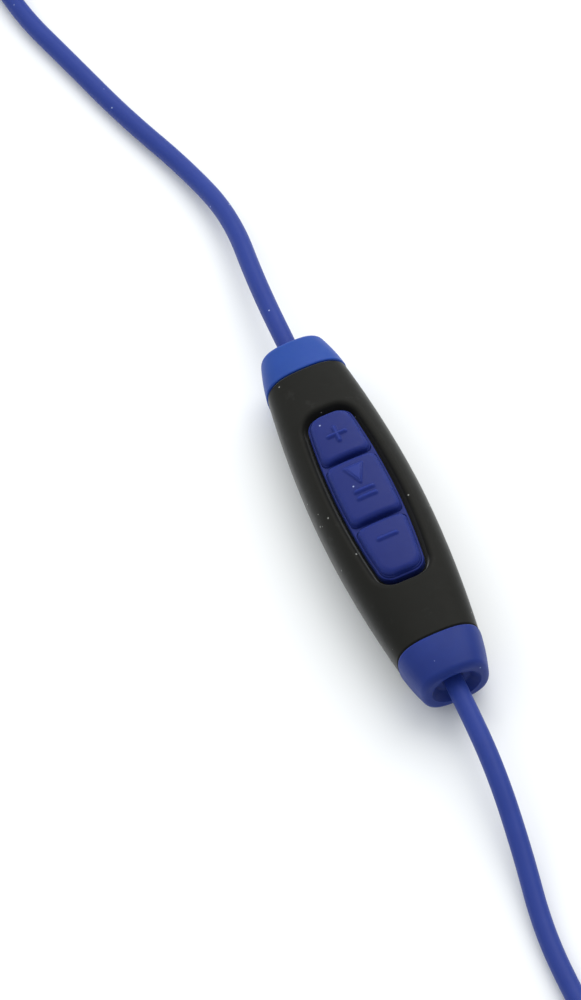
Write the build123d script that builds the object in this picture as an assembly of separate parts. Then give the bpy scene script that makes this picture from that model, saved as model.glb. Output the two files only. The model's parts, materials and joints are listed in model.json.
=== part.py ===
"""In-line remote control with microphone on a headphone cord, millimetres.

Frame: the remote lies on a flat surface at z = 0 with its underside flat on it, +Z up.
The cord axis through the remote is parallel to Y.  +Y points towards the headphones
("upper" names), -Y towards the music player ("lower" names).  The origin is under the
middle of the remote.  Both ends of the cord are folded into tied hanks that lie on the
same surface, each with its plug strapped on top.
"""

import math
import os

from build123d import *

# ---- driving dimensions -------------------------------------------------------------
MID_Z = 4.85                # height of the cord axis above the surface
HALF_LENGTH = 24.0          # remote, centre to the end of an end cap
SEAM_Y = 19.25              # centre to the joint between the black shell and an end cap
HALF_WIDTH = 6.2
HALF_HEIGHT = 5.15
WIDTH_TAPER = 0.35          # share of the half width lost towards the ends
HEIGHT_TAPER = 0.30
CAP_TAPER = (0.4, 0.42)    # more taper along an end cap, off the half width and half height
CAP_PROUD = 0.1             # an end cap stands out past the shell all round
ROUNDNESS = 2.77            # exponent of the superellipse cross-section
WALL = 1.15
PARTING_Z = -0.8            # parting plane of the shells, from the cord axis
FIT = 0.05                  # clearance between mating plastic parts

CORD_D = 2.2
CORD_R = CORD_D / 2
CORD_START_Y = 15.2         # where the jacket ends inside the remote
CORD_FIT = 0.04             # clearance round the jacket where a part holds it

KEYS_Y = 0.6                # centre of the keypad
KEYPAD_HALF = 11.3          # half length over the three keys
VALLEYS = (-4.0, 4.75)      # middles of the bars between the keys, from the keypad's centre
VALLEY_WIDTH = 0.6          # between two keys
KEY_HALF_WIDTH = 3.0        # at the middle of the keypad
KEY_SIDE_CURVE = 0.006      # the sides curve in by this times the distance squared
KEY_TRAVEL = 0.3
KEY_GAP = 0.1              # around a key, inside the keypad frame
KEY_TOP = 5.15              # crown of the outer keys, from the cord axis
KEY_TILT = 1.2              # outer keys slope down towards the ends, degrees
KEY_EDGE = 0.5              # rounding of the keys' top edges
MIDDLE_KEY_RISE = 0.25
ICON_HEIGHT = 0.16

CAP_DISH = 1.1              # depth of the hollow that the cord leaves from
CAP_LIP = 0.85              # thickness of the rim round that hollow
CAP_EDGE = 0.8              # rounding of an end cap's outer edge

# heights of the inside parts, from the cord axis
FRAME_TOP, FRAME_BOTTOM = 4.1, 1.7
WELL_FLOOR = 3.1
LEDGE_BOTTOM = 2.2
KEY_FLANGE_BOTTOM = 1.2
PLUNGER_TOP, PLUNGER_BOTTOM = -0.1, -1.1
SWITCH_TOP, SWITCH_COVER = -0.7, 0.15
BOARD_TOP, BOARD_BOTTOM = -1.8, -2.6
MIC_BOTTOM, MIC_SEAT = -3.4, -3.7
SCREW_Y = 12.6
MIC_Y = 4.4

HANK_RUN = 38.0             # between the middles of a hank's two end loops
HANK_LOOP_R = 3.1 * CORD_D  # centreline radius of the innermost end loops
HANK_PINCH = 0.9 * CORD_D   # centreline offset of the innermost runs under the tie
TIE_ALONG = 3.2             # middle of the tie, from the hank's middle, away from the remote
TIE_WIDTH = 4.0
TIE_THICK = 0.5

PLUG_PIN_R = 1.75
PLUG_PIN_LENGTH = 14.0
GRIP_R = 3.0
GRIP_LENGTH = 11.0
RELIEF_LENGTH = 4.5
PLUG_ACROSS = -1.5          # the plug lies on its hank, beside the centre line
PLUG_START = -3.5           # start of its strain relief, from the hank's middle


def save(shape, name):
    """Writes one node; a list of solids becomes one node too."""
    if isinstance(shape, list):
        shape = Compound(shape)
    shape.label = name
    export_step(shape, f"parts/{name}.step")


def up(shape):
    """Moves a shape, or each of a list, from cord-axis height to the row frame."""
    if isinstance(shape, list):
        return [up(one) for one in shape]
    return Pos(0, 0, MID_Z) * shape


# ---- remote body ---------------------------------------------------------------------
def half_size(y, inset=0.0, cap=False):
    along = abs(y) / HALF_LENGTH
    on_cap = max(0.0, (abs(y) - SEAM_Y) / (HALF_LENGTH - SEAM_Y)) ** 2 if cap else 0.0
    return (
        HALF_WIDTH * (1 - WIDTH_TAPER * along ** 1.9) - CAP_TAPER[0] * on_cap - inset,
        HALF_HEIGHT * (1 - HEIGHT_TAPER * along ** 1.5) - CAP_TAPER[1] * on_cap - inset,
    )


def section(y, inset=0.0, cap=False):
    """Superellipse face at y, as a closed curve through points spaced round it."""
    w, h = half_size(y, inset, cap)
    points = []
    for i in range(24):
        a = 2 * math.pi * (i + 0.5) / 24
        c, s = math.cos(a), math.sin(a)
        x = math.copysign(abs(c) ** (2 / ROUNDNESS) * w, c)
        z = math.copysign(abs(s) ** (2 / ROUNDNESS) * h, s)
        points.append((x, y, z))
    return make_face(Spline(*points, periodic=True))


def barrel(y_low, y_high, inset=0.0, steps=8, cap=False):
    """The remote's outside, or a surface inset from it, between two cross-sections.

    The loft runs a step past both ends and is cut back, because a loft flattens at its ends.
    """
    step = (y_high - y_low) / steps
    body = loft([section(y_low + step * i, inset, cap) for i in range(-1, steps + 2)])
    return body & (Pos(0, (y_low + y_high) / 2, 0) * Box(60, y_high - y_low, 60))


def slab(z_low, z_high, reach=60):
    return Pos(0, 0, (z_low + z_high) / 2) * Box(reach, 2 * reach, z_high - z_low)


# ---- keypad outlines -------------------------------------------------------------------
def side_x(y, grow=0.0):
    return KEY_HALF_WIDTH + grow - KEY_SIDE_CURVE * (y - KEYS_Y) ** 2


def boat(y_low, y_high, grow, low_radius, high_radius, z):
    """Keypad-shaped face: curved sides that narrow away from the middle key."""
    y_mid = (y_low + y_high) / 2
    corner = {(s, e): (s * side_x(y, grow), y) for s in (-1, 1) for e, y in ((0, y_low), (1, y_high))}
    edges = [
        Line(corner[-1, 0], corner[1, 0]),
        ThreePointArc(corner[1, 0], (side_x(y_mid, grow), y_mid), corner[1, 1]),
        Line(corner[1, 1], corner[-1, 1]),
        ThreePointArc(corner[-1, 1], (-side_x(y_mid, grow), y_mid), corner[-1, 0]),
    ]
    face = make_face(edges)
    low = [v for v in face.vertices() if v.Y < y_mid]
    face = fillet(low, low_radius)
    high = [v for v in face.vertices() if v.Y > y_high - 0.01]
    face = fillet(high, high_radius)
    return Pos(0, 0, z) * face


def prism(face, height):
    return extrude(face, amount=height, dir=(0, 0, 1))


HALF_VALLEY = VALLEY_WIDTH / 2
KEY_ENDS = {
    "volume_up": (KEYS_Y + VALLEYS[1] + HALF_VALLEY, KEYS_Y + KEYPAD_HALF, 0.6, 1.35),
    "play_pause": (KEYS_Y + VALLEYS[0] + HALF_VALLEY, KEYS_Y + VALLEYS[1] - HALF_VALLEY, 0.6, 0.6),
    "volume_down": (KEYS_Y - KEYPAD_HALF, KEYS_Y + VALLEYS[0] - HALF_VALLEY, 1.35, 0.6),
}
KEYPAD_LOW = KEYS_Y - KEYPAD_HALF
KEYPAD_HIGH = KEYS_Y + KEYPAD_HALF
FRAME_MARGIN = 0.3
WELL_GAP = 0.25
RIM_MARGIN = 1.3


def key_crown(top, tilt=0.0, y_mid=KEYS_Y):
    """Solid under a key's top surface, gently domed across and tilted along the remote."""
    across = 14.0
    ring = Cylinder(across, 30)
    return Pos(0, y_mid, top) * Rot(tilt, 0, 0) * Pos(0, 0, -across) * Rot(90, 0, 0) * ring


def bar(x, y, length, width, angle=0):
    return Pos(x, y, 0) * Rot(0, 0, angle) * SlotOverall(length, width)


def icon_face(kind):
    """Raised symbol of a key, as faces on the cord-axis plane."""
    if kind == "volume_up":
        centre = KEYS_Y + 8.0
        return [bar(0, centre, 2.3, 0.42), bar(0, centre, 2.2, 0.42, 90)]
    if kind == "volume_down":
        return [bar(0, KEYS_Y - 6.8, 2.4, 0.42)]
    triangle = make_face(Polyline((-1.1, KEYS_Y + 3.2), (1.1, KEYS_Y + 3.2), (0, KEYS_Y + 0.7), close=True))
    triangle = fillet(triangle.vertices(), 0.25)
    return [triangle, bar(0, KEYS_Y - 0.2, 2.35, 0.4), bar(0, KEYS_Y - 1.1, 2.35, 0.4)]


def key(kind):
    y_low, y_high, low_radius, high_radius = KEY_ENDS[kind]
    y_mid = (y_low + y_high) / 2
    top = KEY_TOP + (MIDDLE_KEY_RISE if kind == "play_pause" else 0)
    tilt = KEY_TILT * (y_mid - KEYS_Y) / abs(y_mid - KEYS_Y) if kind != "play_pause" else 0.0
    column = prism(boat(y_low, y_high, 0, low_radius, high_radius, KEY_FLANGE_BOTTOM), 8)
    cap = column & key_crown(top, -tilt, y_mid)
    rim = cap.faces().sort_by(Axis.Z)[-1].edges()
    cap = fillet(rim, KEY_EDGE)
    for face in icon_face(kind):
        symbol = prism(face, 8) & key_crown(top + ICON_HEIGHT, -tilt, y_mid)
        cap += symbol - slab(-1, FRAME_TOP)
    tabs = Pos(0, y_mid, (KEY_FLANGE_BOTTOM + FRAME_BOTTOM) / 2) * Box(
        2 * (side_x(y_mid) + 0.4), 2.6, FRAME_BOTTOM - KEY_FLANGE_BOTTOM
    )
    post = Pos(0, y_mid, (PLUNGER_TOP + KEY_FLANGE_BOTTOM) / 2) * Cylinder(
        0.8, KEY_FLANGE_BOTTOM - PLUNGER_TOP
    )
    return cap + tabs + post


def keypad_frame():
    """Soft collar that the three keys stand in, with a flange held under the shell's ledge."""
    low, high = KEYPAD_LOW - FRAME_MARGIN, KEYPAD_HIGH + FRAME_MARGIN
    collar = prism(boat(low, high, FRAME_MARGIN, 1.7, 1.7, FRAME_BOTTOM), FRAME_TOP - FRAME_BOTTOM)
    top_edges = collar.edges().group_by(Axis.Z)[-1]
    collar = fillet(top_edges, 0.18)
    flange = prism(
        boat(low - 0.6, high + 0.6, FRAME_MARGIN + 0.6, 2.2, 2.2, FRAME_BOTTOM), LEDGE_BOTTOM - FRAME_BOTTOM
    )
    frame = collar + flange
    for y_low, y_high, low_radius, high_radius in KEY_ENDS.values():
        hole = boat(y_low - KEY_GAP, y_high + KEY_GAP, KEY_GAP, low_radius, high_radius, FRAME_BOTTOM - 1)
        frame -= prism(hole, 8)
    return frame


# ---- shells ----------------------------------------------------------------------------
def shell_outside():
    """Black shell's outside, its two end edges broken by a small chamfer."""
    lip = 0.25
    middle = barrel(-SEAM_Y + lip, SEAM_Y - lip)
    for side in (-1, 1):
        y = side * (SEAM_Y - lip)
        middle += loft([section(y), section(side * SEAM_Y, 0.22)], ruled=True)
    return middle


def top_shell(outside):
    cavity = barrel(-SEAM_Y, SEAM_Y, WALL, steps=12)
    low, high = KEYPAD_LOW - FRAME_MARGIN, KEYPAD_HIGH + FRAME_MARGIN
    seat = boat(low - 1.6, high + 1.6, FRAME_MARGIN + 1.45, 2.6, 2.6, LEDGE_BOTTOM)
    shell = (outside - cavity) + (prism(seat, 6) & outside)
    floor = boat(low - WELL_GAP, high + WELL_GAP, FRAME_MARGIN + WELL_GAP, 1.9, 1.9, WELL_FLOOR)
    rim_z = HALF_HEIGHT + 0.35
    rim = boat(
        KEYPAD_LOW - RIM_MARGIN - 0.35, KEYPAD_HIGH + RIM_MARGIN + 0.35, RIM_MARGIN + 0.12, 2.9, 2.9, rim_z
    )
    well = loft([floor, rim], ruled=True)
    shell -= well
    lip = [
        e for e in shell.edges()
        if e.center().Z > WELL_FLOOR + 0.6 and abs(e.center().X) < 5.4 and abs(e.center().Y) < 15
        and e.bounding_box().max.Z > 4
    ]
    try:
        shell = fillet(lip, 0.55)
    except Exception as problem:
        print("well lip left sharp:", problem)
    window = boat(low - FIT, high + FIT, FRAME_MARGIN + FIT, 1.75, 1.75, LEDGE_BOTTOM - 1)
    shell -= prism(window, 4)
    return shell & slab(PARTING_Z, 10)


def bottom_shell(outside):
    cavity = barrel(-SEAM_Y, SEAM_Y, WALL, steps=12)
    shell = (outside - cavity) & slab(-MID_Z, PARTING_Z)
    for y in (-SCREW_Y, SCREW_Y):
        boss = Pos(0, y, (BOARD_BOTTOM - 4.6) / 2) * Cylinder(1.15, BOARD_BOTTOM + 4.6)
        shell += boss & outside
        shell -= Pos(0, y, BOARD_BOTTOM - 0.75) * Cylinder(0.5, 1.5)
    mic_seat = Pos(0, MIC_Y, (MIC_SEAT - 4.6) / 2) * Cylinder(1.9, MIC_SEAT + 4.6)
    shell += mic_seat
    shell -= Pos(0, MIC_Y, -4.2) * Cylinder(0.45, 2)
    return shell


def end_cap(side):
    """Rubber end cap: a plug inside the shell, a rounded nose and a dish round the cord."""
    nose = barrel(SEAM_Y, HALF_LENGTH, -CAP_PROUD, steps=4, cap=True)
    nose = fillet(nose.faces().sort_by(Axis.Y)[-1].edges(), CAP_EDGE)
    nose = fillet(nose.faces().sort_by(Axis.Y)[0].edges(), 0.18)
    spigot = barrel(SEAM_Y - 2.0, SEAM_Y, WALL + FIT, steps=2)
    w, h = half_size(HALF_LENGTH, CAP_LIP - CAP_PROUD, cap=True)
    floor_face, mouth_face = (
        Plane.XZ.offset(-y) * Ellipse(w - shrink, h - shrink)
        for y, shrink in ((HALF_LENGTH - CAP_DISH, 0.9), (HALF_LENGTH + 0.01, 0.0))
    )
    dish = loft([floor_face, mouth_face])
    dish = fillet(dish.edges().sort_by(Axis.Y)[0], 0.4)
    cap = nose + spigot - dish
    cap -= Pos(0, HALF_LENGTH, 0) * Rot(90, 0, 0) * Cylinder(CORD_R + CORD_FIT, 40)
    return cap if side > 0 else Rot(0, 0, 180) * cap


# ---- inside the remote -------------------------------------------------------------------
def board():
    plate = Pos(0, 0, BOARD_BOTTOM) * RectangleRounded(6.0, 29.0, 1.2)
    blank = prism(plate, BOARD_TOP - BOARD_BOTTOM)
    for y in (-SCREW_Y, SCREW_Y):
        blank -= Pos(0, y, BOARD_TOP) * Cylinder(0.6, 3)
    return blank


def switch_body():
    body = Pos(0, 0, (SWITCH_TOP + BOARD_TOP) / 2) * Box(3.4, 3.0, SWITCH_TOP - BOARD_TOP)
    body = fillet(body.edges().filter_by(Axis.Z), 0.25)
    return body - Pos(0, 0, SWITCH_TOP) * Cylinder(0.76, 1.6)


def switch_cover():
    plate = Pos(0, 0, SWITCH_TOP + SWITCH_COVER / 2) * Box(3.4, 3.0, SWITCH_COVER)
    plate = chamfer(plate.edges().filter_by(Axis.Z), 0.3)
    return plate - Pos(0, 0, SWITCH_TOP) * Cylinder(0.85, 2)


def plunger():
    height = PLUNGER_TOP - PLUNGER_BOTTOM
    pin = Pos(0, 0, PLUNGER_BOTTOM + height / 2) * Cylinder(0.7, height)
    return chamfer(pin.edges().group_by(Axis.Z)[0], 0.1)


def board_components():
    """Surface-mounted chips and passives on the board's upper face."""
    chips = [(0.9, 3.9, 1.6, 1.6, 0.6), (-1.4, 4.5, 0.6, 1.0, 0.4), (-1.4, -2.9, 1.0, 0.6, 0.4),
             (1.1, -3.1, 1.2, 0.9, 0.5), (-2.2, 11.2, 0.6, 1.0, 0.4), (2.1, 11.2, 0.6, 1.0, 0.4),
             (-2.1, -10.6, 0.6, 1.0, 0.4), (2.1, -10.6, 0.6, 1.0, 0.4)]
    return [Pos(x, y, BOARD_TOP + h / 2) * Box(w, d, h) for x, y, w, d, h in chips]


def screw():
    head = Pos(0, 0, BOARD_TOP + 0.25) * Cylinder(0.95, 0.5)
    head = fillet(head.edges().group_by(Axis.Z)[-1], 0.18)
    for angle in (0, 90):
        head -= Pos(0, 0, BOARD_TOP + 0.45) * Rot(0, 0, angle) * Box(1.1, 0.22, 0.35)
    shank = Pos(0, 0, BOARD_TOP - 1.0) * Cylinder(0.48, 2.0)
    return head + shank


def cord_clamp(side):
    """Crimped ring on the jacket, which takes a pull on the cord."""
    ring = Cylinder(1.65, 1.9) - Cylinder(CORD_R + CORD_FIT, 3)
    ring = chamfer(ring.edges().filter_by(GeomType.CIRCLE), 0.15)
    return Pos(0, side * (SEAM_Y - 2.0 - 0.95 - FIT), 0) * Rot(90, 0, 0) * ring


def lead_wires(side):
    """Four insulated conductors from the jacket's end to the board."""
    wires = []
    for x, z in ((-0.45, -0.2), (-0.15, 0.35), (0.2, -0.45), (0.45, 0.15)):
        spread = 2.6 * x
        route = [
            (x, side * CORD_START_Y, z),
            (spread, side * (CORD_START_Y - 0.75), z - 0.2),
            (spread, side * (CORD_START_Y - 1.1), BOARD_TOP + 0.21),
            (spread, side * (CORD_START_Y - 2.0) if abs(spread) > 1.1 else side * (CORD_START_Y - 1.35),
             BOARD_TOP + 0.21),
        ]
        if abs(spread) <= 1.1:
            route = route[:3]
        path = FilletPolyline(*route, radius=0.2)
        start = Plane(origin=path @ 0, z_dir=path % 0)
        wires.append(sweep(start * Circle(0.18), path))
    return wires


# ---- cord --------------------------------------------------------------------------------
UPPER_ROUTE = [
    (0, CORD_START_Y, MID_Z), (0, 24.5, MID_Z), (0.15, 35.5, 4.15), (1.15, 47.0, 2.5), (-1.0, 57.0, 1.35),
    (-4.7, 67.5, CORD_R), (-7.6, 78.0, CORD_R), (-10.6, 88.5, CORD_R), (-11.2, 99.0, CORD_R),
]
LOWER_ROUTE = [
    (0, -CORD_START_Y, MID_Z), (0, -24.6, MID_Z), (-0.1, -34.4, 4.15), (-1.25, -44.0, 2.35),
    (-2.9, -53.3, CORD_R), (-3.0, -62.6, CORD_R), (-2.4, -71.4, CORD_R),
]


def turn_radii(route):
    """Arc radius at each inner point: 0.45 of the shorter run over the tangent of half the turn."""
    radii = []
    for a, b, c in zip(route, route[1:], route[2:]):
        one, two = Vector(*b) - Vector(*a), Vector(*c) - Vector(*b)
        half_turn = math.radians(one.get_angle(two)) / 2
        radii.append(0.45 * min(one.length, two.length) / math.tan(half_turn))
    return radii


def tube(route, radius, name):
    radii = turn_radii(route)
    path = FilletPolyline(*route, radius=radii)
    start = Plane(origin=path @ 0, z_dir=path % 0)
    made = sweep(start * Circle(radius), path)
    expected = math.pi * radius**2 * path.length
    print(f"{name}: length {path.length:.1f}, tightest arc {min(radii):.1f},"
          f" volume {made.volume:.1f} against {expected:.1f}")
    return made


class Hank:
    """Where one folded and tied hank lies; its own axes are across and along, away from the remote."""

    def __init__(self, x, y, away, columns, layers):
        self.x, self.y, self.away = x, y, away
        self.columns, self.layers = columns, layers
        self.top = TIE_THICK + layers * CORD_D
        self.plug_z = self.top + GRIP_R

    def place(self, shape):
        return Pos(self.x, self.y, 0) * Rot(0, 0, 0 if self.away > 0 else 180) * shape

    def outline(self, offset):
        """Dog-bone outline at a distance outside the innermost turns' centreline."""
        loop, pinch, end = HANK_LOOP_R + offset, HANK_PINCH + offset, HANK_RUN / 2
        low, high = TIE_ALONG - TIE_WIDTH / 2 - 0.2, TIE_ALONG + TIE_WIDTH / 2 + 0.2
        edges = []
        for side in (-1, 1):
            edges += [
                Spline((side * loop, end), (side * pinch, high), tangents=((0, -1), (0, -1))),
                Line((side * pinch, high), (side * pinch, low)),
                Spline((side * pinch, low), (side * loop, -end), tangents=((0, -1), (0, -1))),
                ThreePointArc((-loop, side * end), (0, side * (end + loop)), (loop, side * end)),
            ]
        return make_face(edges)

    def eye(self, side):
        """Outline of the hole inside one end loop."""
        loop, end = HANK_LOOP_R - CORD_R, HANK_RUN / 2
        root = TIE_ALONG + side * 7.0
        tangent = (0, side)
        return make_face([
            Spline((0.6, root), (loop, side * end), tangents=((0.1, side), tangent)),
            ThreePointArc((loop, side * end), (0, side * (end + loop)), (-loop, side * end)),
            Spline((-0.6, root), (-loop, side * end), tangents=((-0.1, side), tangent)),
            Line((-0.6, root), (0.6, root)),
        ])

    def solid(self):
        block = prism(self.outline((self.columns - 1) * CORD_D + CORD_R), self.top)
        for side in (-1, 1):
            block -= prism(self.eye(side), self.top)
        block -= Pos(0, TIE_ALONG, TIE_THICK / 2) * Box(60, TIE_WIDTH + 0.2, TIE_THICK)
        return self.place(block)

    def tie(self):
        """Strap round the pinched middle of the hank and the plug's grip."""
        half = HANK_PINCH + (self.columns - 1) * CORD_D + CORD_R + 0.06
        height = self.layers * CORD_D
        bundle = Pos(0, TIE_THICK + height / 2) * Rectangle(2 * half, height)
        grip = Pos(PLUG_ACROSS, self.plug_z) * Circle(GRIP_R + 0.04)
        inside = make_hull(bundle.edges() + grip.edges())
        band = Plane.XZ * (offset(inside, TIE_THICK) - inside)
        strap = extrude(band, amount=TIE_WIDTH / 2, both=True)
        return self.place(Pos(0, TIE_ALONG, 0) * strap)

    def tail(self):
        """Route from the last end loop, over the turns, to the plug's strain relief."""
        step = math.radians(30)
        bend = HANK_LOOP_R / math.cos(step / 2)
        route = [(-bend * math.cos(a), -HANK_RUN / 2 - bend * math.sin(a), self.top + rise)
                 for a, rise in ((step * 2.5, 0.2), (step * 1.5, 0.7), (step * 0.5, CORD_R))]
        route += [(-HANK_LOOP_R, -15.4, self.top + CORD_R), (PLUG_ACROSS, -9.6, self.plug_z - 0.1),
                  (PLUG_ACROSS, PLUG_START, self.plug_z)]
        return [(self.x + self.away * u, self.y + self.away * v, z) for u, v, z in route]

    def on_plug(self, shape):
        """Puts a piece of the plug, made with its pin along +Z, on the hank."""
        root = PLUG_START + RELIEF_LENGTH + GRIP_LENGTH
        return self.place(Pos(PLUG_ACROSS, root, self.plug_z) * Rot(-90, 0, 0) * shape)


UPPER_HANK = Hank(-5.2, 124.0, 1, 1, 2)
LOWER_HANK = Hank(-3.0, -99.0, -1, 2, 3)


# ---- plugs ---------------------------------------------------------------------------------
def lathe(profile):
    """Turned part: profile points are (distance along the axis from the pin's root, radius)."""
    face = make_face(Polyline(*[(r, a) for a, r in profile], close=True))
    return revolve(Plane.XZ * face, Axis.Z)


def plug_parts(rings):
    """3.5 mm plug with its pin along +Z from the origin, as {piece: shape}."""
    r = PLUG_PIN_R
    insulator = 0.5
    ring = 1.9
    tip_start = PLUG_PIN_LENGTH - 3.9
    parts = {}
    cut = tip_start
    bands, collars = [], []
    for _ in range(rings):
        collars.append((cut - insulator, cut))
        bands.append((cut - insulator - ring, cut - insulator))
        cut -= insulator + ring
    collars.append((cut - insulator, cut))
    sleeve_end = cut - insulator
    end = PLUG_PIN_LENGTH
    parts["tip"] = [lathe([
        (tip_start, 0.0), (tip_start, r), (tip_start + 0.35, r), (tip_start + 1.15, 1.25),
        (tip_start + 1.75, 1.25), (tip_start + 2.35, r - 0.03), (end - 0.75, 1.2), (end - 0.2, 0.75), (end, 0.3),
        (end, 0.0),
    ])]
    hollow = 0.9
    parts["rings"] = [lathe([(a, hollow), (a, r), (b, r), (b, hollow)]) for a, b in bands]
    parts["insulators"] = [lathe([(a, hollow), (a, r), (b, r), (b, hollow)]) for a, b in collars]
    parts["core"] = [lathe([(-3.0, 0.0), (-3.0, hollow), (tip_start, hollow), (tip_start, 0.0)])]
    parts["sleeve"] = [lathe([(-3.0, hollow), (-3.0, 2.3), (0.0, 2.3), (0.0, 2.5), (0.8, 2.5), (0.8, r),
                              (sleeve_end, r), (sleeve_end, hollow)])]
    return parts


def plug_grip():
    """Moulded grip behind the pin, with three finger grooves and a recess for the metal foot."""
    body = Pos(0, 0, -GRIP_LENGTH / 2) * Cylinder(GRIP_R, GRIP_LENGTH)
    body = fillet(body.edges().group_by(Axis.Z)[-1], 0.6)
    body = fillet(body.edges().group_by(Axis.Z)[0], 0.9)
    for i in range(3):
        body -= Pos(0, 0, -4.0 - 2.2 * i) * Torus(GRIP_R + 0.35, 0.65)
    body -= Pos(0, 0, -1.5) * Cylinder(2.3, 3.0)
    body -= Pos(0, 0, -GRIP_LENGTH / 2 - 1.5) * Cylinder(CORD_R + CORD_FIT, GRIP_LENGTH - 3.0)
    return body


def plug_relief():
    """Tapered strain relief with four ring cuts."""
    z0 = -GRIP_LENGTH
    cone = Pos(0, 0, z0 - RELIEF_LENGTH / 2) * Rot(180, 0, 0) * Cone(2.0, 1.45, RELIEF_LENGTH)
    for i in range(4):
        cone -= Pos(0, 0, z0 - 0.9 - 1.05 * i) * (Cylinder(3, 0.4) - Cylinder(1.35, 1))
    return cone - Pos(0, 0, z0 - RELIEF_LENGTH / 2) * Cylinder(CORD_R + CORD_FIT, RELIEF_LENGTH + 1)


def main():
    os.makedirs("parts", exist_ok=True)
    outside = shell_outside()
    save(up(top_shell(outside)), "top_shell")
    save(up(bottom_shell(outside)), "bottom_shell")
    save(up(end_cap(1)), "upper_end_cap")
    save(up(end_cap(-1)), "lower_end_cap")
    save(up(keypad_frame()), "keypad_frame")
    for kind, (y_low, y_high, _, _) in KEY_ENDS.items():
        y_mid = (y_low + y_high) / 2
        save(up(key(kind)), f"{kind}_key")
        save(Pos(0, y_mid, MID_Z) * plunger(), f"{kind}_plunger")
        save(Pos(0, y_mid, MID_Z) * switch_body(), f"{kind}_switch")
        save(Pos(0, y_mid, MID_Z) * switch_cover(), f"{kind}_switch_cover")
    save(up(board()), "circuit_board")
    save(up(board_components()), "board_components")
    save(up([Pos(0, y, 0) * screw() for y in (-SCREW_Y, SCREW_Y)]), "board_screws")
    capsule = Pos(0, MIC_Y, (BOARD_BOTTOM + MIC_BOTTOM) / 2) * Box(2.6, 3.2, BOARD_BOTTOM - MIC_BOTTOM)
    save(up(fillet(capsule.edges().filter_by(Axis.Z), 0.3)), "microphone_capsule")
    boot = Cylinder(1.6, MIC_BOTTOM - MIC_SEAT) - Cylinder(0.9, 1)
    save(Pos(0, MIC_Y, MID_Z + (MIC_BOTTOM + MIC_SEAT) / 2) * boot, "microphone_boot")
    save(Pos(0, MIC_Y, MID_Z + MIC_SEAT + 0.06) * Cylinder(0.86, 0.12), "microphone_mesh")
    for name, side in (("upper", 1), ("lower", -1)):
        save(up(cord_clamp(side)), f"{name}_cord_clamp")
        save(up(lead_wires(side)), f"{name}_lead_wires")
    for name, hank, route, rings in (
        ("upper", UPPER_HANK, UPPER_ROUTE, 1), ("lower", LOWER_HANK, LOWER_ROUTE, 2)
    ):
        save(tube(route, CORD_R, f"{name}_cord"), f"{name}_cord")
        save(hank.solid(), f"{name}_hank")
        save(tube(hank.tail(), CORD_R, f"{name}_cord_tail"), f"{name}_cord_tail")
        save(hank.tie(), f"{name}_tie")
        for piece, shape in plug_parts(rings).items():
            save([hank.on_plug(solid) for solid in shape], f"{name}_plug_{piece}")
        save(hank.on_plug(plug_grip()), f"{name}_plug_grip")
        save(hank.on_plug(plug_relief()), f"{name}_plug_relief")


main()
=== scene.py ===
import json
import math

import bpy
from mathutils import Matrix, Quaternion, Vector


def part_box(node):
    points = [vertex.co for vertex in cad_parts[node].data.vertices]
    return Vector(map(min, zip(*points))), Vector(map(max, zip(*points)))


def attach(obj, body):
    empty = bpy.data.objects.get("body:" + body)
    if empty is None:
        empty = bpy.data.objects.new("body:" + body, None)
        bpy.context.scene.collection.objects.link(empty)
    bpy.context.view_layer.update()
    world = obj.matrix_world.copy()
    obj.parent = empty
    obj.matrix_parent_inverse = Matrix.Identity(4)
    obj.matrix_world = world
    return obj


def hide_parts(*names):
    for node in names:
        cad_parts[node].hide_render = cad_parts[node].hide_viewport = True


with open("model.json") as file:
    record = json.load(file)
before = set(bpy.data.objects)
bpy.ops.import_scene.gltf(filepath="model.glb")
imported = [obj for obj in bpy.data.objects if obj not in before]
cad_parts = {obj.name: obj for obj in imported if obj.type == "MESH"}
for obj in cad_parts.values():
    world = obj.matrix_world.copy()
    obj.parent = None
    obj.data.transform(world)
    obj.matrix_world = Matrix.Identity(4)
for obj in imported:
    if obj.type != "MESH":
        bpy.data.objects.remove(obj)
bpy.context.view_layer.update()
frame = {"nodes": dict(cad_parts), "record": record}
MM = 0.001

# ---- camera ---------------------------------------------------------------------------
CAMERA_PLACE = Vector((-0.0540, -0.3161, 0.4917))
CAMERA_AIM = Vector((-0.0068, 0.0096, 0.0))
CAMERA_ROLL = math.radians(-16.13)
LENS = 191.7


def make_camera():
    data = bpy.data.cameras.new("camera")
    data.lens = LENS
    data.sensor_width = 36
    data.clip_start = 0.01
    camera = bpy.data.objects.new("camera", data)
    back = CAMERA_PLACE - CAMERA_AIM
    turn = back.to_track_quat("Z", "Y") @ Quaternion((0, 0, 1), CAMERA_ROLL)
    camera.location = CAMERA_PLACE
    camera.rotation_mode = "QUATERNION"
    camera.rotation_quaternion = turn
    bpy.context.scene.collection.objects.link(camera)
    bpy.context.scene.camera = camera


# ---- cords ------------------------------------------------------------------------------
CORD_R = 1.1
CORD_D = 2 * CORD_R
MID_Z = 4.85
TIE_THICK = 0.5
HALF_TIE = 2.2                      # half of the straight stretch under the tie
HANK_RUN, HANK_LOOP_R, HANK_PINCH, TIE_ALONG = 38.0, 6.95, 1.98, 3.2
RUN_STEP = 4.2                      # between the points of a run
SHOULDER = 18.0                     # where a run reaches its loop's width, from the hank's middle
LOOP_ANGLES = (-18, -54, -90, -126, -162)
LOOP_STEP = 36                      # degrees between them
TIE_SLOPE = 10                      # over which a run comes down from its tie
CROSSING_LIFT = 1.1                 # in cord diameters, over the incoming cord
CROSSING_SPREAD = 80                # degrees over which that lift dies away
LAYER_SPREAD = 0.4                  # extra height of each layer in the near loops
TAIL_RISE = 1.6                     # of the last run, before it climbs to the plug
TAIL_PLACES = (-16.8, -12.6, -8.4, -5.0)    # along the hank, from the near loop to the plug
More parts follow.
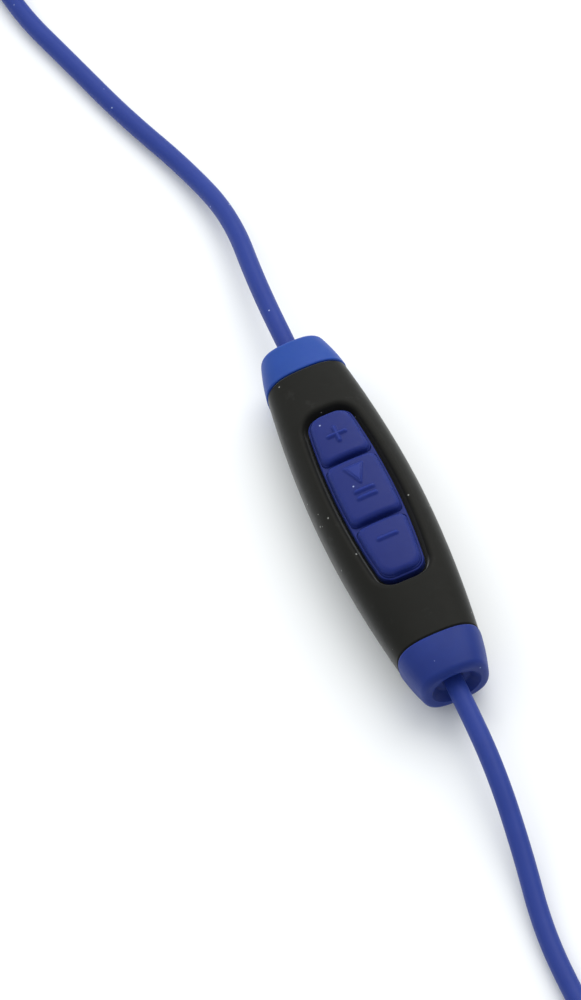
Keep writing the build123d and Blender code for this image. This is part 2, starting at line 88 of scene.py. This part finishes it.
TAIL_SHIFT = 14                     # length over which the tail moves across to the plug
GRIP_R = 3.0
PLUG_ACROSS, PLUG_START = -1.5, -3.5

UPPER_ROUTE = [
    (0, 15.2, MID_Z), (0, 24.5, MID_Z), (0.15, 35.5, 4.15), (1.15, 47.0, 2.5), (-1.0, 57.0, 1.35),
    (-4.7, 67.5, CORD_R), (-7.6, 78.0, CORD_R), (-10.6, 88.5, CORD_R), (-11.2, 99.0, CORD_R),
]
LOWER_ROUTE = [
    (0, -15.2, MID_Z), (0, -24.6, MID_Z), (-0.1, -34.4, 4.15), (-1.25, -44.0, 2.35),
    (-2.9, -53.3, CORD_R), (-3.0, -62.6, CORD_R), (-2.4, -71.4, CORD_R),
]


def ease(share):
    """Smooth step, 0 up to a share of 0 and 1 from a share of 1."""
    return (1 - math.cos(math.pi * min(1.0, max(0.0, share)))) / 2


class Hank:
    """Folded, tied stretch of spare cord; its own axes are across and along, away from the remote."""

    def __init__(self, x, y, away, cells, layers, crossing, first_step):
        self.x, self.y, self.away = x, y, away
        self.first_step = first_step    # point of the first run where the incoming cord joins it
        self.cells = cells              # (column, layer) of each turn, in winding order
        self.top = TIE_THICK + layers * CORD_D
        self.crossing = crossing        # angle in the near loops where the incoming cord passes below

    def place(self, u, v, z):
        return (self.x + self.away * u, self.y + self.away * v, z)

    def on_loop(self, column, angle, end, z):
        """Point outside a loop's centreline by as much as a spline cuts its corners."""
        radius = (HANK_LOOP_R + CORD_D * column) / math.cos(math.radians(LOOP_STEP / 2))
        a = math.radians(angle)
        return self.place(radius * math.cos(a), end + radius * math.sin(a), z)

    def far_loop(self, cell):
        z = CORD_R + CORD_D * cell[1]
        return [self.on_loop(cell[0], -angle, HANK_RUN / 2, z) for angle in reversed(LOOP_ANGLES)]

    def near_loop(self, cell, after):
        """Changes from one turn to the next, and rises over the incoming cord."""
        made = []
        for angle in LOOP_ANGLES:
            share = (LOOP_ANGLES[0] - angle) / (LOOP_ANGLES[0] - LOOP_ANGLES[-1])
            column = cell[0] + (after[0] - cell[0]) * share
            layer = cell[1] + (after[1] - cell[1]) * share
            off_crossing = min(1.0, abs(angle - self.crossing) / CROSSING_SPREAD)
            lift = CROSSING_LIFT * CORD_D * (1 - ease(off_crossing))
            lift += LAYER_SPREAD * layer * math.sin(math.radians(angle)) ** 2
            made.append(self.on_loop(column, angle, -HANK_RUN / 2, CORD_R + CORD_D * layer + lift))
        return made

    def run(self, cell, side, heading, rise=0.0):
        """Points of one run, pinched in and lifted under the tie; it may rise towards the near end."""
        column, layer = cell
        made = []
        for step in range(-4, 5):
            v = step * RUN_STEP
            from_tie = abs(v - TIE_ALONG) - HALF_TIE
            reach = SHOULDER + math.copysign(TIE_ALONG, TIE_ALONG - v) - HALF_TIE
            u = HANK_PINCH + (HANK_LOOP_R - HANK_PINCH) * ease(from_tie / reach) + CORD_D * column
            lift = TIE_THICK * (1 - ease(from_tie / TIE_SLOPE)) + rise * ease((TIE_ALONG - v) / reach)
            made.append(self.place(side * u, v, CORD_R + CORD_D * layer + lift))
        return made[::heading]

    def tail(self, cell, rise):
        """From the last run round the near end, over the turns, to the plug."""
        z_plug = self.top + GRIP_R
        z_start = CORD_R + CORD_D * cell[1] + rise
        z_top = z_plug + 0.5
        made = []
        for angle in LOOP_ANGLES:
            share = (LOOP_ANGLES[0] - angle) / (LOOP_ANGLES[0] - LOOP_ANGLES[-1])
            z = z_start + (z_top - z_start) * math.sin(math.pi / 2 * min(1.0, 0.3 + 1.3 * share))
            made.append(self.on_loop(cell[0] * (1 - share), angle, -HANK_RUN / 2, z))
        for v in TAIL_PLACES:
            share = ease((v + HANK_RUN / 2) / TAIL_SHIFT)
            u = -HANK_LOOP_R + (PLUG_ACROSS + HANK_LOOP_R) * share
            made.append(self.place(u, v, z_top + (z_plug - z_top) * share))
        made.append(self.place(PLUG_ACROSS, PLUG_START + 1.0, z_plug))
        made.append(self.place(PLUG_ACROSS, PLUG_START + 3.0, z_plug))
        return made

    def points(self):
        made = []
        for cell, after in zip(self.cells, self.cells[1:] + [None]):
            rise = 0.0 if after else TAIL_RISE
            made += self.run(cell, -1, 1)[0 if made else self.first_step:]
            made += self.far_loop(cell)
            made += self.run(cell, 1, -1, rise)
            made += self.near_loop(cell, after) if after else self.tail(cell, rise)
        return made


UPPER_HANK = Hank(-5.2, 124.0, 1, [(0, 0), (0, 1)], 2, -140, 3)
LOWER_HANK = Hank(-3.0, -99.0, -1, [(0, 0), (1, 0), (1, 1), (0, 1), (0, 2), (1, 2)], 3, -90, 4)


def make_cord(name, points, material):
    """Round cord along one smooth spline whose control points are given in millimetres."""
    curve = bpy.data.curves.new(name, "CURVE")
    curve.dimensions = "3D"
    spline = curve.splines.new("NURBS")
    spline.points.add(len(points) - 1)
    for place, point in zip(spline.points, points):
        place.co = [value * MM for value in point] + [1]
    spline.order_u = 3
    spline.use_endpoint_u = True
    spline.resolution_u = 12
    curve.bevel_depth = CORD_R * MM
    curve.bevel_resolution = 7
    curve.materials.append(material)
    cord = bpy.data.objects.new(name, curve)
    bpy.context.scene.collection.objects.link(cord)
    return cord


PLUG_PIECES = ("tip", "rings", "insulators", "core", "sleeve", "grip", "relief")


def make_cords(material):
    for side, sign, route, hank, length in (
        ("upper", 1, UPPER_ROUTE, UPPER_HANK, 0.358), ("lower", -1, LOWER_ROUTE, LOWER_HANK, 0.866)
    ):
        cord = make_cord(f"{side}_remote_cord", route + hank.points(), material)
        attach(cord, "housing")
        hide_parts(f"{side}_cord", f"{side}_cord_tail", f"{side}_hank")
        on_it = [frame["nodes"][f"{side}_plug_{piece}"] for piece in PLUG_PIECES]
        on_it.append(frame["nodes"][f"{side}_tie"])


# ---- keys -------------------------------------------------------------------------------
KEYS_Y = 0.6                        # middle of the keypad
KEY_HALF_WIDTH, KEY_SIDE_CURVE = 3.0, 0.006
KEY_DOME_R = 14.0
KEY_SLOPE = math.tan(math.radians(1.2))     # of the outer keys, down towards the remote's ends
KEY_PILLOW = 0.012                  # fall along a key, times the distance squared
ROUND_IN, ROUND_DOWN = 0.55, 0.65   # rounding between a key's wall and its top
SIDE_STEPS, CORNER_STEPS, END_STEPS, EDGE_STEPS, TOP_STEPS = 40, 9, 16, 10, 44
WALL_PROFILE = ((0.08, 0.0), (0.08, 1.0), (0.04, 1.06), (0.015, 1.16))      # (outwards, above the foot)
STROKE, RIDGE, RIDGE_EDGE = 0.19, 0.27, 0.42
HIGHLIGHT_ATTRIBUTE, EDGE_HIGHLIGHT = "painted_highlight", 0.3   # attribute for the painted highlight on symbol ridges and rounded key edges
ICON_HEIGHT = 0.16                  # of the CAD key's own symbol, above its crown
FOOT_DEPTH = 1.0                    # of a key's foot, below the top of the keypad frame
TRIANGLE_GROW = 0.1                 # rounds the play triangle's corners
PLUS_Y, MINUS_Y = 8.6, -6.2
TRIANGLE = ((-1.0, 3.75), (0.0, 1.4), (1.0, 3.75))
BARS_Y = (0.4, -0.5)
PLUS_HALF, PLUS_RISE, MINUS_HALF, BAR_HALF = 0.95, 0.9, 1.0, 0.98


def side_x(y):
    return KEY_HALF_WIDTH - KEY_SIDE_CURVE * (y - KEYS_Y) ** 2


def key_ring(y_low, y_high, inset, low_radius, high_radius):
    """Closed outline of a key, inset from its wall, with rounded corners."""
    def half_end(y_end, radius, sign):
        y_centre = y_end - sign * radius
        lean = sign * math.atan(2 * KEY_SIDE_CURVE * (y_centre - KEYS_Y))
        x_centre = side_x(y_centre + sign * radius * math.sin(lean)) - inset - radius * math.cos(lean)
        points = []
        for i in range(CORNER_STEPS + 1):
            a = lean + (math.pi / 2 - lean) * i / CORNER_STEPS
            points.append((x_centre + radius * math.cos(a), y_centre + sign * radius * math.sin(a)))
        return points + [(x_centre * (1 - i / END_STEPS), y_end) for i in range(1, END_STEPS + 1)]

    low = half_end(y_low + inset, low_radius, -1)
    high = half_end(y_high - inset, high_radius, 1)
    ys = [low[0][1] + (high[0][1] - low[0][1]) * i / SIDE_STEPS for i in range(1, SIDE_STEPS)]
    right = low[::-1] + [(side_x(y) - inset, y) for y in ys] + high
    return right[:-1] + [(-x, y) for x, y in right[:0:-1]]


def to_bar(x, y, ax, ay, bx, by):
    """Distance to a straight stroke."""
    length2 = (bx - ax) ** 2 + (by - ay) ** 2
    t = min(1.0, max(0.0, ((x - ax) * (bx - ax) + (y - ay) * (by - ay)) / length2))
    return math.hypot(x - ax - t * (bx - ax), y - ay - t * (by - ay)) - STROKE


def to_triangle(x, y):
    """Signed distance to the play triangle, negative inside."""
    edges = list(zip(TRIANGLE, TRIANGLE[1:] + TRIANGLE[:1]))
    inside = all((bx - ax) * (y - ay) - (by - ay) * (x - ax) > 0 for (ax, ay), (bx, by) in edges)
    nearest = min(to_bar(x, y, *a, *b) + STROKE for a, b in edges)
    return -nearest if inside else nearest - TRIANGLE_GROW


def to_symbol(kind, x, y):
    if kind == "volume_up":
        across = to_bar(x, y, -PLUS_HALF, PLUS_Y, PLUS_HALF, PLUS_Y)
        return min(across, to_bar(x, y, 0, PLUS_Y - PLUS_RISE, 0, PLUS_Y + PLUS_RISE))
    if kind == "volume_down":
        return to_bar(x, y, -MINUS_HALF, MINUS_Y, MINUS_HALF, MINUS_Y)
    bars = [to_bar(x, y, -BAR_HALF, bar_y, BAR_HALF, bar_y) for bar_y in BARS_Y]
    return min(bars + [to_triangle(x, y)])


def make_key(kind, low_radius, high_radius, material):
    """Pillow-shaped key: rings up its wall, over its rounded edge and in to its middle."""
    low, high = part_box(f"{kind}_key")
    y_low, y_high, top = low[1] / MM, high[1] / MM, high[2] / MM - ICON_HEIGHT
    y_mid = (y_low + y_high) / 2
    slope = 0.0 if kind == "play_pause" else math.copysign(KEY_SLOPE, y_mid - KEYS_Y)
    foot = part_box("keypad_frame")[1][2] / MM - FOOT_DEPTH

    def crown(x, y):
        dome = math.sqrt(KEY_DOME_R ** 2 - x * x) - KEY_DOME_R
        return top + dome - slope * (y - y_mid) - KEY_PILLOW * (y - y_mid) ** 2

    def surface(x, y):
        over = (to_symbol(kind, x, y) + RIDGE_EDGE / 2) / RIDGE_EDGE
        return crown(x, y) + RIDGE * (1 - ease(over))

    rings = []
    for grow, rise in WALL_PROFILE:
        ring = key_ring(y_low, y_high, -grow, low_radius, high_radius)
        rings.append([(x, y, foot + rise) for x, y in ring])
    for i in range(EDGE_STEPS + 1):
        a = math.pi / 2 * i / EDGE_STEPS
        ring = key_ring(y_low, y_high, ROUND_IN * (1 - math.cos(a)), low_radius, high_radius)
        rings.append([(x, y, surface(x, y) - ROUND_DOWN * (1 - math.sin(a))) for x, y in ring])
    for step in range(1, TOP_STEPS):
        share = 1 - step / TOP_STEPS
        shrunk = [(x * share, y_mid + (y - y_mid) * share) for x, y in ring]
        rings.append([(x, y, surface(x, y)) for x, y in shrunk])
    mesh = bpy.data.meshes.new(f"{kind}_pillow")
    count = len(ring)
    vertices = [[value * MM for value in point] for points in rings for point in points]
    vertices.append([0, y_mid * MM, surface(0, y_mid) * MM])
    faces = []
    for start in range(0, (len(rings) - 1) * count, count):
        for i in range(count):
            after = (i + 1) % count
            faces.append((start + i, start + after, start + count + after, start + count + i))
    last = (len(rings) - 1) * count
    faces += [(last + i, last + (i + 1) % count, len(vertices) - 1) for i in range(count)]
    faces.append(tuple(range(count))[::-1])
    mesh.from_pydata(vertices, [], faces)
    mesh.shade_smooth()
    # painted highlight: lighter colour on the symbol ridges and partway round each key's rounded edge
    highlight_values = mesh.attributes.new(HIGHLIGHT_ATTRIBUTE, "FLOAT", "POINT")
    for i, (x, y, _) in enumerate(point for points in rings for point in points):
        round_share = min(1.0, max(0.0, (i // count - len(WALL_PROFILE)) / EDGE_STEPS))
        on_symbol = 1 - ease((to_symbol(kind, x, y) + RIDGE_EDGE / 2) / RIDGE_EDGE)
        highlight_values.data[i].value = max(on_symbol, EDGE_HIGHLIGHT * math.sin(math.pi * round_share))
    mesh.materials.append(material)
    key = bpy.data.objects.new(f"{kind}_pillow", mesh)
    bpy.context.scene.collection.objects.link(key)
    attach(key, kind)
    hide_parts(f"{kind}_key")


def make_keys(material):
    make_key("volume_up", 0.75, 1.5, material)
    make_key("play_pause", 0.8, 0.8, material)
    make_key("volume_down", 1.5, 0.75, material)


# ---- materials --------------------------------------------------------------------------
def linear(r, g, b):
    """Opaque colour from linear values."""
    return (r, g, b, 1)


class Shader:
    """Principled material with a few helpers for procedural detail."""

    def __init__(self, name, color, roughness, **sockets):
        self.material = bpy.data.materials.new(name)
        self.material.use_nodes = True
        self.nodes = self.material.node_tree.nodes
        self.links = self.material.node_tree.links
        self.bsdf = self.nodes["Principled BSDF"]
        self.color = color
        self.bsdf.inputs["Base Color"].default_value = linear(*color)
        self.bsdf.inputs["Roughness"].default_value = roughness
        for key, value in sockets.items():
            self.bsdf.inputs[key.replace("_", " ")].default_value = value
        self.place = self.nodes.new("ShaderNodeTexCoord").outputs["Object"]

    def noise(self, scale, detail=2.0, roughness=0.5):
        node = self.nodes.new("ShaderNodeTexNoise")
        node.inputs["Scale"].default_value = scale
        node.inputs["Detail"].default_value = detail
        node.inputs["Roughness"].default_value = roughness
        self.links.new(self.place, node.inputs["Vector"])
        return node.outputs["Fac"]

    def ramp(self, value, low, high, out_low, out_high):
        node = self.nodes.new("ShaderNodeMapRange")
        node.inputs["From Min"].default_value = low
        node.inputs["From Max"].default_value = high
        node.inputs["To Min"].default_value = out_low
        node.inputs["To Max"].default_value = out_high
        self.links.new(value, node.inputs["Value"])
        return node.outputs["Result"]

    def mix(self, factor, first, second):
        node = self.nodes.new("ShaderNodeMix")
        node.data_type = "RGBA"
        self.links.new(factor, node.inputs["Factor"])
        for socket, value in ((node.inputs[6], first), (node.inputs[7], second)):
            if isinstance(value, tuple):
                socket.default_value = linear(*value)
            else:
                self.links.new(value, socket)
        return node.outputs[2]

    def tint(self, factor, second):
        """Mixes the base colour towards a second one."""
        socket = self.bsdf.inputs["Base Color"]
        first = socket.links[0].from_socket if socket.is_linked else self.color
        self.links.new(self.mix(factor, first, second), socket)

    def specks(self, scale, size, threshold):
        """Rare round dust specks: near the middle of the cells whose random value passes a threshold."""
        cells = self.nodes.new("ShaderNodeTexVoronoi")
        cells.inputs["Scale"].default_value = scale
        self.links.new(self.place, cells.inputs["Vector"])
        near = self.ramp(cells.outputs["Distance"], size, size * 0.6, 0, 1)
        chosen = self.ramp(cells.outputs["Color"], threshold, threshold + 0.02, 0, 1)
        both = self.nodes.new("ShaderNodeMath")
        both.operation = "MULTIPLY"
        self.links.new(near, both.inputs[0])
        self.links.new(chosen, both.inputs[1])
        return both.outputs["Value"]

    def painted_highlight(self):
        """Painted highlight on symbol ridges and rounded key edges, from a mesh's own attribute; 0 on a
        mesh that has none.
        """
        node = self.nodes.new("ShaderNodeAttribute")
        node.attribute_name = HIGHLIGHT_ATTRIBUTE
        return node.outputs["Fac"]

    def rough(self, factor, low, high):
        self.links.new(self.ramp(factor, 0, 1, low, high), self.bsdf.inputs["Roughness"])

    def bump(self, factor, distance, strength=0.5):
        node = self.nodes.new("ShaderNodeBump")
        node.inputs["Strength"].default_value = strength
        node.inputs["Distance"].default_value = distance
        self.links.new(factor, node.inputs["Height"])
        before = self.bsdf.inputs["Normal"]
        if before.is_linked:
            self.links.new(before.links[0].from_socket, node.inputs["Normal"])
        self.links.new(node.outputs["Normal"], before)


def soft_touch_black():
    s = Shader("soft_touch_black", (0.0097, 0.0095, 0.0078), 0.58,
               Sheen_Weight=0.34, Sheen_Roughness=0.3, Specular_IOR_Level=0.1)
    s.rough(s.noise(900, 3), 0.52, 0.66)
    s.tint(s.ramp(s.noise(120, 4), 0.45, 0.75, 0, 0.5), (0.0115, 0.0112, 0.0096))
    s.tint(s.specks(700, 0.085, 0.55), (0.3, 0.3, 0.28))
    scuffs = s.ramp(s.noise(330, 5, 0.7), 0.6, 0.72, 0, 0.4)
    s.tint(scuffs, (0.03, 0.03, 0.028))
    s.bump(s.noise(9000, 2), 0.00001, 0.3)
    return s.material


def silicone(name, color, light, roughness=0.5, glow=0.15):
    s = Shader(name, color, roughness, Sheen_Weight=0.08, Sheen_Roughness=0.5, Specular_IOR_Level=0.18,
               Subsurface_Weight=glow, Subsurface_Scale=0.0015)
    s.bsdf.inputs["Sheen Tint"].default_value = linear(0.3, 0.42, 1.0)
    s.bsdf.inputs["Subsurface Radius"].default_value = (0.12, 0.3, 1.0)
    s.rough(s.noise(1200, 2), roughness - 0.05, roughness + 0.08)
    s.tint(s.ramp(s.noise(220, 3), 0.4, 0.7, 0, 0.6), light)
    # painted highlight on symbol ridges and rounded key edges, read from the key mesh's attribute
    s.tint(s.painted_highlight(), (color[0] * 1.6, color[1] * 1.6, color[2] * 1.4))
    s.tint(s.specks(640, 0.075, 0.55), (0.3, 0.36, 0.6))
    s.bump(s.noise(5200, 2), 0.000012, 0.3)
    return s.material


def plain(name, color, roughness, metallic=0.0, grain=3000, depth=0.000006):
    s = Shader(name, color, roughness, Metallic=metallic)
    s.rough(s.noise(grain, 2), roughness * 0.85, roughness * 1.2)
    s.bump(s.noise(grain * 2, 2), depth, 0.25)
    return s.material


def strap_fabric():
    s = Shader("strap_fabric", (0.014, 0.014, 0.016), 0.85, Sheen_Weight=0.4)
    s.tint(s.ramp(s.noise(2400, 3), 0.4, 0.65, 0, 0.6), (0.035, 0.035, 0.04))
    s.bump(s.noise(4200, 3), 0.00008, 0.6)
    return s.material


def make_materials():
    return {
        "black_shell": soft_touch_black(),
        "blue_silicone": silicone("blue_silicone", (0.008, 0.017, 0.138), (0.0098, 0.0205, 0.158)),
        "blue_cap": silicone("blue_cap", (0.0095, 0.025, 0.17), (0.012, 0.032, 0.205), 0.46, 0.35),
        # lighter, bluer copy of blue_cap for the upper end cap only: painted light from the lamps behind
        # it
        "painted_backlight_cap": silicone("painted_backlight_cap", (0.013, 0.055, 0.275), (0.016, 0.062, 0.31), 0.46, 0.35),
        "blue_cord": silicone("blue_cord", (0.016, 0.037, 0.225), (0.019, 0.043, 0.25), 0.45),
        "plunger_plastic": plain("plunger_plastic", (0.7, 0.69, 0.65), 0.45),
        "switch_plastic": plain("switch_plastic", (0.03, 0.03, 0.034), 0.4),
        "spring_steel": plain("spring_steel", (0.6, 0.6, 0.6), 0.3, 1.0),
        "board": plain("board", (0.012, 0.1, 0.035), 0.3),
        "chips": plain("chips", (0.04, 0.04, 0.042), 0.5),
        "microphone_can": plain("microphone_can", (0.7, 0.7, 0.7), 0.28, 1.0),
        "black_rubber": plain("black_rubber", (0.012, 0.012, 0.012), 0.7),
        "microphone_mesh": plain("microphone_mesh", (0.2, 0.2, 0.21), 0.5, 1.0),
        "clamp_metal": plain("clamp_metal", (0.7, 0.5, 0.22), 0.3, 1.0),
        "wire_lacquer": plain("wire_lacquer", (0.4, 0.09, 0.04), 0.3),
        "strap": strap_fabric(),
        "plug_grip": silicone("plug_grip", (0.012, 0.026, 0.17), (0.015, 0.032, 0.2)),
        "plug_metal": plain("plug_metal", (0.86, 0.62, 0.28), 0.16, 1.0, 1500, 0.000002),
        "plug_insulator": plain("plug_insulator", (0.01, 0.01, 0.01), 0.3),
    }


def dress(materials):
    slots = {part["node"]: part["material_slot"] for part in frame["record"]["subparts"]}
    for name, node in frame["nodes"].items():
        node.data.materials.clear()
        # the upper end cap takes the lighter copy of blue_cap: painted backlight
        node.data.materials.append(materials["painted_backlight_cap" if name == "upper_end_cap" else slots[name]])


# ---- studio -----------------------------------------------------------------------------
def make_floor():
    bpy.ops.mesh.primitive_plane_add(size=6, location=(0, 0, 0))
    floor = bpy.context.object
    floor.name = "floor"
    s = Shader("white_table", (0.92, 0.925, 0.93), 0.7, Specular_IOR_Level=0.2)
    floor.data.materials.append(s.material)


def area_light(name, place, aim, size, power, color=(1, 1, 1)):
    data = bpy.data.lights.new(name, "AREA")
    data.shape = "RECTANGLE"
    data.size, data.size_y = size
    data.energy = power
    data.color = color
    light = bpy.data.objects.new(name, data)
    light.location = place
    light.rotation_mode = "QUATERNION"
    light.rotation_quaternion = (Vector(place) - Vector(aim)).to_track_quat("Z", "Y")
    bpy.context.scene.collection.objects.link(light)


def make_light():
    world = bpy.data.worlds.new("studio")
    bpy.context.scene.world = world
    world.use_nodes = True
    background = world.node_tree.nodes["Background"]
    background.inputs["Color"].default_value = (0.94, 0.985, 1.0, 1)
    background.inputs["Strength"].default_value = 0.66
    area_light("key", (0.46, 0.42, 0.78), (0, 0, 0), (1.0, 1.0), 8.4)
    area_light("fill", (-0.45, 0.5, 0.75), (0, 0, 0), (0.9, 0.9), 2.2)
    bpy.context.scene.view_settings.view_transform = "Standard"


make_camera()
MATERIALS = make_materials()
dress(MATERIALS)
make_cords(MATERIALS["blue_cord"])
make_keys(MATERIALS["blue_silicone"])
make_floor()
make_light()
